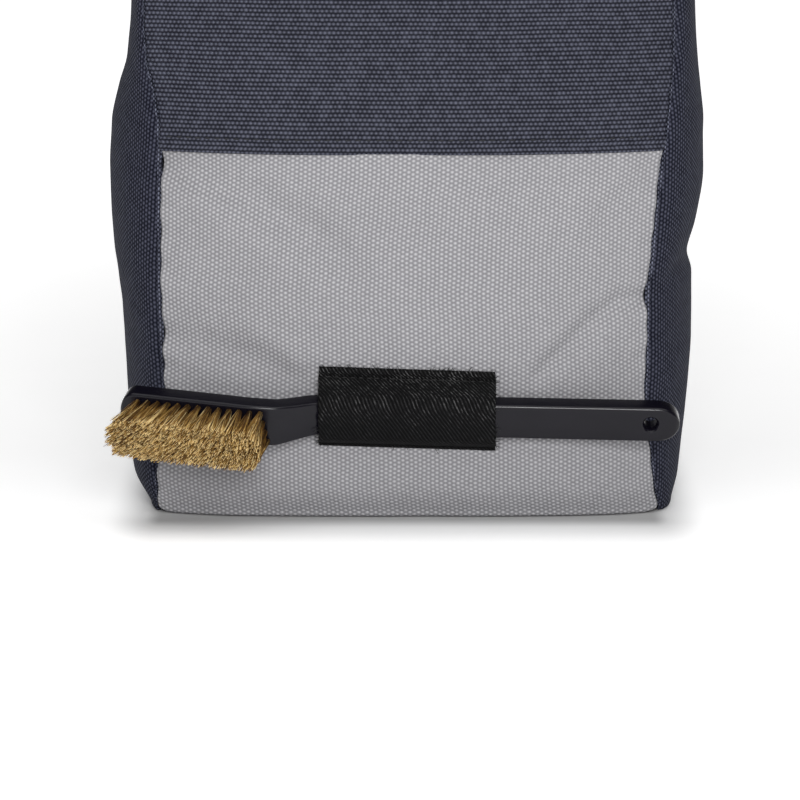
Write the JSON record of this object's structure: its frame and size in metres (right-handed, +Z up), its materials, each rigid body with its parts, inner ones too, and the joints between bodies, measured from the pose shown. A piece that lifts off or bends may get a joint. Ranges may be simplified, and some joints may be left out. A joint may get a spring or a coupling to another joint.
{
  "type": "climbing chalk bag with brush",
  "caption": "Soft box-shaped chalk bag of woven cloth, open at the top, with a bristle brush held by an elastic loop on its front.",
  "frame": {"origin": "middle of the flat base, on the surface the bag stands on", "axes": "+X to the bag's right as seen from the front, +Y to its back, +Z up"},
  "size_m": [0.1993, 0.1624, 0.2],
  "materials": {
    "grey_cloth": "pale grey basket-weave nylon, matt with small bright yarn crowns",
    "navy_cloth": "dark navy basket-weave nylon, matt",
    "black_elastic": "black webbing with fine diagonal ribs",
    "black_plastic": "moulded black plastic, smooth with a soft gloss",
    "bristle": "straw-gold natural bristle, split ends"
  },
  "bodies": {
    "root": {"base_panel": "navy_cloth", "front_panel": "grey_cloth", "front_band": "navy_cloth", "gusset_left": "navy_cloth", "gusset_right": "navy_cloth", "back_panel": "navy_cloth", "rim_hem": "navy_cloth", "brush_loop": "black_elastic", "brush_handle": "black_plastic", "brush_bristles": "bristle"}
  },
  "joints": []
}
